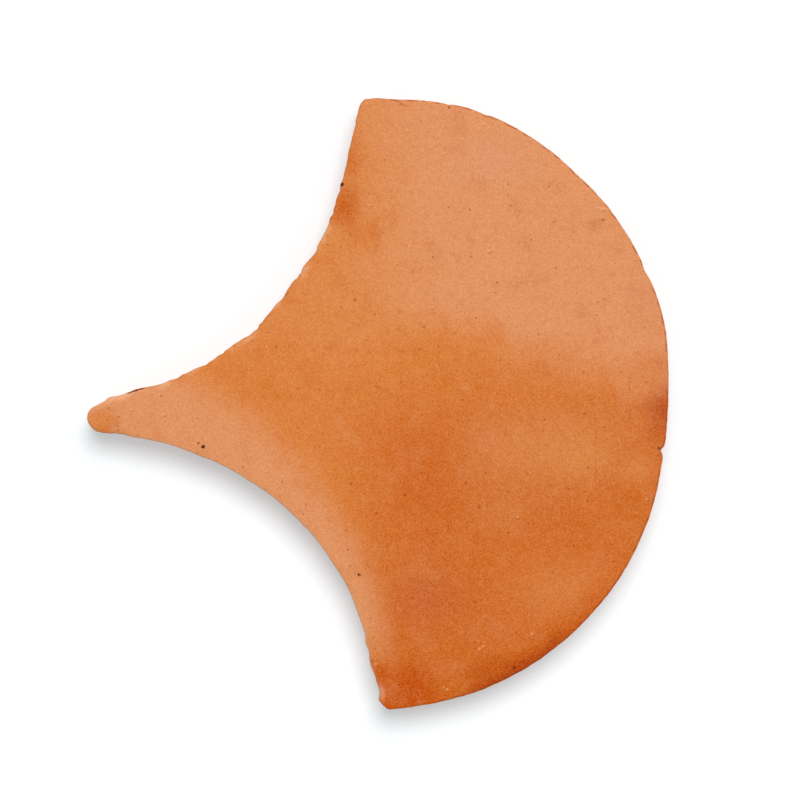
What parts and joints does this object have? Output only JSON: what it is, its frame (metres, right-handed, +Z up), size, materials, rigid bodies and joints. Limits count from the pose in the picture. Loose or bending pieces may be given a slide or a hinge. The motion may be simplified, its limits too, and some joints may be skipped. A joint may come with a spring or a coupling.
{
  "type": "fish-scale floor tile",
  "caption": "Hand-cut fish-scale tile of fired terracotta: round head, hollow flanks, narrow rounded tail, worn edges.",
  "frame": {"origin": "on the bed face, under the centre of the round head", "axes": "+X from the tail to the head, +Y to the left seen that way, +Z up from the bed face to the wear face"},
  "size_m": [0.143, 0.1499, 0.015],
  "materials": {
    "fired_clay": "matte"
  },
  "bodies": {
    "root": {"tile": "fired_clay"}
  },
  "joints": []
}
